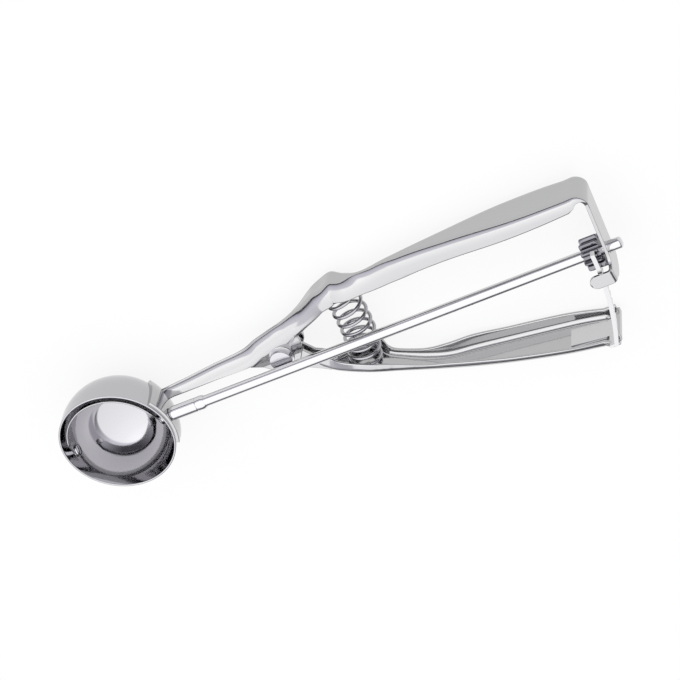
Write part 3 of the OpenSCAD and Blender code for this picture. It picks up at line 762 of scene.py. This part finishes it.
def lever_handle():
    """Stamped channel that is squeezed, notched and lipped at the rack."""
    end = LEVER_LINE[-1]
    tail = []
    for x, near, bend in ((NOTCH_X - 1.4, end[4], end[6]), (NOTCH_X - 0.8, end[4] - 0.6, 2.6),
                          (NOTCH_X - 0.3, 2.0, 1.8), (NOTCH_X + 0.1, FLAT, 0.9),
                          (LIP_X - 0.6, FLAT, 0.8), (LIP_X + SHEET - 0.9, FLAT, 0.8)):
        tail.append((x, end[1], end[2], end[3], near, end[5], bend))
    rings = lever_rings(spline(LEVER_LINE, 20) + tail)
    shell = joined(loft(rings), lever_ears(), lever_lip(end))
    return add_piece("lever_channel", shell, "lever", BUFFED_SHEET,
                     ("lever_handle",))


# ---------------------------------------------------------------- pivot, spring and gears

def standing(shell, x, y):
    """Stand a body turned about X up along Z, on a point of the handles' plane."""
    return [(x - pz, y + py, px) for px, py, pz in shell[0]], shell[1]


def rivet():
    """Rivet with a drum head on the near side and a low head on the far side."""
    bottom, top = EAR_Z - EAR_WIDTH / 2, EAR_Z + EAR_WIDTH / 2
    head_z = top + 0.5
    r, head = 2.0, 4.05
    profile = [(bottom - 1.2, 0), (bottom - 1.2, r), (bottom - 1.1, r + 0.5), (bottom - 0.75, r + 1),
               (bottom - 0.35, r + 1.2), (bottom, r + 1.2), (bottom, r), (head_z, r), (head_z, head),
               (head_z + 1.75, head), (head_z + 1.95, head - 0.04), (head_z + 2.1, head - 0.14),
               (head_z + 2.17, head - 0.3), (head_z + 2.2, head - 0.5), (head_z + 2.2, 1.6),
               (head_z + 2.2, 0)]
    shell = standing(turned(profile), PIVOT.x, PIVOT.y)
    return add_piece("pivot_rivet_drum", shell, "frame", TURNED_PIN, ("pivot_rivet",))


def washer():
    """Thin washer under the drum head."""
    top = EAR_Z + EAR_WIDTH / 2
    r = 4.6
    profile = [(top, 0), (top, 1.9), (top, r - 0.12), (top + 0.12, r), (top + 0.38, r),
               (top + 0.5, r - 0.12), (top + 0.5, 1.9), (top + 0.5, 0)]
    shell = standing(turned(profile), PIVOT.x, PIVOT.y)
    return add_piece("pivot_washer_ring", shell, "frame", BLANKED_STRIP,
                     ("pivot_washer",))


def coil_tree(material):
    """Geometry Nodes: wire wound about a curved axis, its end turns lying close."""
    tree = bpy.data.node_groups.new("coil_on_a_bent_axis", "GeometryNodeTree")
    face = tree.interface
    face.new_socket("Geometry", in_out="OUTPUT", socket_type="NodeSocketGeometry")
    face.new_socket("Geometry", in_out="INPUT", socket_type="NodeSocketGeometry")
    for name in ("Top", "Knee", "Foot"):
        face.new_socket(name, in_out="INPUT", socket_type="NodeSocketVector")
    for name in ("Turns", "Coil radius", "Wire radius"):
        face.new_socket(name, in_out="INPUT", socket_type="NodeSocketFloat")
    face.new_socket("Points", in_out="INPUT", socket_type="NodeSocketInt")
    given = add(tree, "NodeGroupInput").outputs

    def calc(kind, a, b=0.0, c=0.0):
        return add(tree, "ShaderNodeMath", {0: a, 1: b, 2: c}, operation=kind).outputs[0]

    def blend(a, b, u):
        made = add(tree, "ShaderNodeMix", data_type="VECTOR")
        for socket, value in zip((made.inputs[4], made.inputs[5], made.inputs[0]), (a, b, u)):
            tree.links.new(value, socket)
        return made.outputs[1]

    def vector(kind, a, b, scale=None):
        inputs = {0: a, 1: b} if scale is None else {0: a, "Scale": scale}
        return add(tree, "ShaderNodeVectorMath", inputs, operation=kind).outputs[0]

    index = add(tree, "GeometryNodeInputIndex").outputs[0]
    along = calc("DIVIDE", index, calc("SUBTRACT", given["Points"], 1.0))
    close = 0.3
    ends = calc("DIVIDE", 0.8, given["Turns"])
    low = calc("MULTIPLY", ends, close)
    slope = calc("DIVIDE", calc("SUBTRACT", 1.0, calc("MULTIPLY", low, 2.0)),
                 calc("SUBTRACT", 1.0, calc("MULTIPLY", ends, 2.0)))
    middle = calc("MULTIPLY_ADD", calc("SUBTRACT", along, ends), slope, low)
    first = calc("MULTIPLY", along, close)
    last = calc("MULTIPLY_ADD", along, close, 1.0 - close)
    climb = calc("MINIMUM", calc("MAXIMUM", middle, first), last)
    centre = blend(blend(given["Top"], given["Knee"], climb),
                   blend(given["Knee"], given["Foot"], climb), climb)
    run = blend(vector("SUBTRACT", given["Knee"], given["Top"]),
                vector("SUBTRACT", given["Foot"], given["Knee"]), climb)
    across = vector("NORMALIZE", vector("CROSS_PRODUCT", (0, 0, 1), run), (0, 0, 0))
    turn = calc("MULTIPLY", calc("MULTIPLY", along, given["Turns"]), 2 * math.pi)
    out = vector("SCALE", across, None, calc("MULTIPLY", calc("COSINE", turn), given["Coil radius"]))
    up = add(tree, "ShaderNodeCombineXYZ", {
        "Z": calc("MULTIPLY", calc("SINE", turn), given["Coil radius"])}).outputs[0]
    spot = vector("ADD", vector("ADD", centre, out), up)
    line = add(tree, "GeometryNodeCurvePrimitiveLine").outputs[0]
    points = add(tree, "GeometryNodeResampleCurve", {"Curve": line, "Count": given["Points"]})
    wound = add(tree, "GeometryNodeSetPosition", {"Geometry": points.outputs[0], "Position": spot})
    ring = add(tree, "GeometryNodeCurvePrimitiveCircle", {
        "Resolution": 14, "Radius": given["Wire radius"]}).outputs[0]
    wire = add(tree, "GeometryNodeCurveToMesh", {"Curve": wound.outputs[0], "Profile Curve": ring,
                                                 "Fill Caps": True})
    whole = add(tree, "GeometryNodeRealizeInstances", {"Geometry": wire.outputs[0]})
    dressed = add(tree, "GeometryNodeSetMaterial", {"Geometry": whole.outputs[0],
                                                    "Material": material})
    end = add(tree, "NodeGroupOutput")
    tree.links.new(dressed.outputs[0], end.inputs[0])
    return tree


def grown(tree, start, values):
    """Run a Geometry Nodes tree on a mesh with the named inputs, and keep the result as a mesh."""
    holder = bpy.data.objects.new("grower", start)
    bpy.context.scene.collection.objects.link(holder)
    step = holder.modifiers.new("grow", "NODES")
    step.node_group = tree
    for item in tree.interface.items_tree:
        if item.in_out == "INPUT" and item.name in values:
            step[item.identifier] = values[item.name]
    bpy.context.view_layer.update()
    done = holder.evaluated_get(bpy.context.evaluated_depsgraph_get())
    mesh = bpy.data.meshes.new_from_object(done)
    bpy.data.objects.remove(holder)
    return mesh


# The coil's bent axis, from the frame's web to the lever's floor
SPRING_TOP = (grip(0.245), 16.8, EAR_Z)
SPRING_KNEE = (grip(0.245), -1.2, EAR_Z)
SPRING_FOOT = (grip(0.203), -12.8, EAR_Z)
SPRING_POINTS = 560


def spring():
    """The coil; the real one shortens as the lever closes, but here it is one fixed mesh on the frame."""
    mesh = grown(coil_tree(SPRING_WIRE), bpy.data.meshes.new("seed"), {
        "Top": SPRING_TOP, "Knee": SPRING_KNEE, "Foot": SPRING_FOOT, "Turns": SPRING_TURNS,
        "Coil radius": (SPRING_OD - WIRE_D) / 2, "Wire radius": WIRE_D / 2, "Points": SPRING_POINTS})
    mesh.name = "return_spring_coil"
    mesh.transform(TO_ROW)
    dress(mesh)
    obj = show("return_spring_coil", mesh, "frame", SPRING_WIRE, ("return_spring",))
    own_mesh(obj)
    return obj


def ring_tree(material):
    """Geometry Nodes: one sector repeated round the X axis and welded into a whole."""
    tree = bpy.data.node_groups.new("sectors_round_x", "GeometryNodeTree")
    face = tree.interface
    face.new_socket("Geometry", in_out="OUTPUT", socket_type="NodeSocketGeometry")
    face.new_socket("Geometry", in_out="INPUT", socket_type="NodeSocketGeometry")
    face.new_socket("Count", in_out="INPUT", socket_type="NodeSocketInt")
    given = add(tree, "NodeGroupInput").outputs
    points = add(tree, "GeometryNodeMeshLine", {"Count": given["Count"], "Offset": (0, 0, 0)})
    index = add(tree, "GeometryNodeInputIndex").outputs[0]
    turn = add(tree, "ShaderNodeMath", {0: index, 1: 2 * math.pi}, operation="MULTIPLY").outputs[0]
    share = add(tree, "ShaderNodeMath", {0: turn, 1: given["Count"]}, operation="DIVIDE").outputs[0]
    spin = add(tree, "ShaderNodeCombineXYZ", {"X": share}).outputs[0]
    placed = add(tree, "GeometryNodeInstanceOnPoints", {
        "Points": points.outputs[0], "Instance": given["Geometry"], "Rotation": spin})
    whole = add(tree, "GeometryNodeRealizeInstances", {"Geometry": placed.outputs[0]})
    welded = add(tree, "GeometryNodeMergeByDistance", {"Geometry": whole.outputs[0],
                                                       "Distance": 0.002})
    dressed = add(tree, "GeometryNodeSetMaterial", {"Geometry": welded.outputs[0],
                                                    "Material": material})
    end = add(tree, "NodeGroupOutput")
    tree.links.new(dressed.outputs[0], end.inputs[0])
    return tree


def tooth_line():
    """One pitch of the pinion's outline as (radius, angle), tooth in the middle, radians."""
    base = PITCH_R * math.cos(PRESSURE)

    def involute(r):
        a = math.acos(min(1, base / r))
        return math.tan(a) - a

    half = math.pi / 2 / PINION_TEETH - BACKLASH / PITCH_R / 2
    gap = math.pi / PINION_TEETH
    flank = []
    for k in range(7):
        r = mix(base, TIP_R - 0.12, k / 6)
        flank.append((r, half + involute(PITCH_R) - involute(r)))
    root = half + involute(PITCH_R) + 0.01
    tip = flank[-1][1]
    side = [(ROOT_R, gap), (ROOT_R, mix(gap, root, 0.6)), (ROOT_R + 0.08, mix(gap, root, 0.9))]
    side += flank + [(TIP_R - 0.04, tip - 0.012), (TIP_R, tip - 0.04), (TIP_R, 0)]
    return [(r, -a) for r, a in side] + [(r, a) for r, a in side[-2::-1]]


def pinion():
    """Ten-tooth gear: one sector is drawn, and the tree repeats it."""
    line = tooth_line()
    bore = ROD_R - 0.02
    half = PINION_WIDTH / 2
    chamfer = 0.3
    rows = []
    for x, shrink in ((-half, chamfer), (chamfer - half, 0), (-1, 0), (1, 0), (half - chamfer, 0),
                      (half, chamfer)):
        rows.append([(PINION_X + x, r - shrink * (r - ROOT_R + 0.6) / (TIP_R - ROOT_R), a)
                     for r, a in line])
    hub = 3.0
    for x, r_in in ((-half, hub), (-half, bore)):
        rows.insert(0, [(PINION_X + x, r_in, a) for _, a in line])
    for x, r_in in ((half, hub), (half, bore)):
        rows.append([(PINION_X + x, r_in, a) for _, a in line])
    count = len(line)
    points = [(x, r * math.sin(a), r * math.cos(a)) for row in rows for x, r, a in row]
    faces = []
    for i in range(len(rows)):
        for j in range(count - 1):
            a = i * count + j
            b = (i + 1) % len(rows) * count + j
            faces.append((a, a + 1, b + 1, b))
    seed = bpy.data.meshes.new("pinion_sector")
    seed.from_pydata(points, [], faces)
    mesh = grown(ring_tree(SHADE_DARKENED_GEAR), seed, {"Count": PINION_TEETH})
    mesh.name = "drive_pinion_gear"
    mesh.transform(TO_ROW)
    dress(mesh, 30)
    return show("drive_pinion_gear", mesh, "shaft", SHADE_DARKENED_GEAR, ("drive_pinion",))


def rack():
    """The CAD rack with its blanked edges broken."""
    mesh = frame["nodes"]["rack"].data.copy()
    shape = bmesh.new()
    shape.from_mesh(mesh)
    bmesh.ops.remove_doubles(shape, verts=shape.verts, dist=1e-6)
    bmesh.ops.dissolve_limit(shape, angle_limit=math.radians(0.6), verts=shape.verts,
                             edges=shape.edges)
    edges = [e for e in shape.edges
             if len(e.link_faces) == 2 and e.calc_face_angle() > math.radians(30)]
    bmesh.ops.bevel(shape, geom=edges, offset=0.14 * MM, segments=2, affect="EDGES",
                    clamp_overlap=True)
    shape.to_mesh(mesh)
    shape.free()
    mesh.name = "rack_strip"
    dress(mesh, 30)
    return show("rack_strip", mesh, "lever", BLANKED_STRIP, ("rack",))


# ---------------------------------------------------------------- studio

def floor():
    """White paper sweep: to the eye and in the metal it is near white and keeps a faint shadow."""
    made = bpy.data.materials.new("white_paper_sweep")
    made.use_nodes = True
    tree = made.node_tree
    tree.nodes.clear()
    place = add(tree, "ShaderNodeTexCoord").outputs["Object"]
    tooth = add(tree, "ShaderNodeTexNoise", {"Vector": place, "Scale": 900.0, "Detail": 2.0})
    bump = add(tree, "ShaderNodeBump", {"Height": tooth.outputs["Fac"], "Strength": 0.05,
                                        "Distance": 0.0001})
    paper = add(tree, "ShaderNodeBsdfDiffuse", {"Color": colour("#E8E8E8"),
                                                "Normal": bump.outputs["Normal"]})
    rays = add(tree, "ShaderNodeLightPath").outputs
    seen = add(tree, "ShaderNodeMath", {0: rays["Is Camera Ray"], 1: rays["Is Glossy Ray"]},
               operation="MAXIMUM").outputs[0]
    # The rest is the diffuse paper, which shows the shadow
    lift = add(tree, "ShaderNodeMath", {0: seen, 1: 0.85}, operation="MULTIPLY").outputs[0]
    white = add(tree, "ShaderNodeEmission", {"Color": colour("#FFFFFF"), "Strength": 1.0})
    shown = add(tree, "ShaderNodeMixShader", {0: lift, 1: paper.outputs[0], 2: white.outputs[0]})
    out = add(tree, "ShaderNodeOutputMaterial")
    tree.links.new(shown.outputs[0], out.inputs["Surface"])
    size = 4.0
    mesh = bpy.data.meshes.new("paper_sweep")
    mesh.from_pydata([(-size, -size, 0), (size, -size, 0), (size, size, 0), (-size, size, 0)], [],
                     [(0, 1, 2, 3)])
    mesh.materials.append(made)
    obj = bpy.data.objects.new("paper_sweep", mesh)
    bpy.context.scene.collection.objects.link(obj)


def shades(tree, level, stops):
    """A colour ramp over a level, from (position, colour code) stops."""
    made = add(tree, "ShaderNodeValToRGB", {"Fac": level})
    ramp = made.color_ramp.elements
    ramp[0].position, ramp[0].color = stops[0][0], colour(stops[0][1])
    ramp[1].position, ramp[1].color = stops[-1][0], colour(stops[-1][1])
    for position, shade in stops[1:-1]:
        ramp.new(position).color = colour(shade)
    return made.outputs[0]


def surroundings():
    """A white tent tipped over the table, in a violet room that is dark along its skirting."""
    world = bpy.data.worlds.new("studio_tent")
    world.use_nodes = True
    tree = world.node_tree
    tree.nodes.clear()
    way = add(tree, "ShaderNodeTexCoord").outputs["Generated"]
    height = add(tree, "ShaderNodeSeparateXYZ", {0: way}).outputs["Z"]
    tip = add(tree, "ShaderNodeVectorMath", {0: way, 1: TENT_CROWN},
              operation="DOT_PRODUCT").outputs["Value"]
    front = add(tree, "ShaderNodeVectorMath", {0: way, 1: ROOM_FRONT},
                operation="DOT_PRODUCT").outputs["Value"]
    lit = add(tree, "ShaderNodeMapRange", {"Value": front, "From Min": -0.8, "From Max": 0.3,
                                           "To Min": 0.18, "To Max": 1.0}).outputs["Result"]
    room = shades(tree, height, ((0.0, "#050506"), (0.1, "#0E0E10"), (0.16, "#A3A0AB"),
                                 (0.35, "#C0BEC6"), (0.6, "#CAC8CE")))
    walls = add(tree, "ShaderNodeVectorMath", {0: room, "Scale": lit},
                operation="SCALE").outputs[0]
    side = add(tree, "ShaderNodeMapRange", {"Value": front, "From Min": -0.8, "From Max": 0.9,
                                            "To Min": 0.0, "To Max": 1.0}).outputs["Result"]
    cloth = shades(tree, side, ((0.1, "#DEDEDF"), (0.5, "#E6E6E7"), (0.8, "#EFEFEF"),
                                (1.0, "#FFFFFF")))
    inside = add(tree, "ShaderNodeMapRange", {"Value": tip, "From Min": 0.555, "From Max": 0.6,
                                              "To Min": 0.0, "To Max": 1.0}).outputs["Result"]
    both = add(tree, "ShaderNodeMix", data_type="RGBA")
    for socket, value in zip((both.inputs[0], both.inputs[6], both.inputs[7]),
                             (inside, walls, cloth)):
        tree.links.new(value, socket)
    glow = add(tree, "ShaderNodeBackground", {"Color": both.outputs[2], "Strength": 2.0})
    out = add(tree, "ShaderNodeOutputWorld")
    tree.links.new(glow.outputs[0], out.inputs["Surface"])
    bpy.context.scene.world = world


def camera():
    """Camera above the fixed handle's side."""
    lens = bpy.data.cameras.new("camera")
    lens.sensor_width = 36
    lens.lens = CAMERA_LENS
    lens.clip_start = 0.05
    obj = bpy.data.objects.new("camera", lens)
    obj.location = CAMERA_PLACE
    obj.rotation_euler = CAMERA_TURN
    bpy.context.scene.collection.objects.link(obj)
    bpy.context.scene.camera = obj


camera()
surroundings()
floor()
bowl()
saddle()
blade()
blade_pin()
rod()
ferrule()
frame_handle()
lever_handle()
rivet()
washer()
spring()
pinion()
rack()
bpy.context.scene.view_settings.view_transform = "Standard"
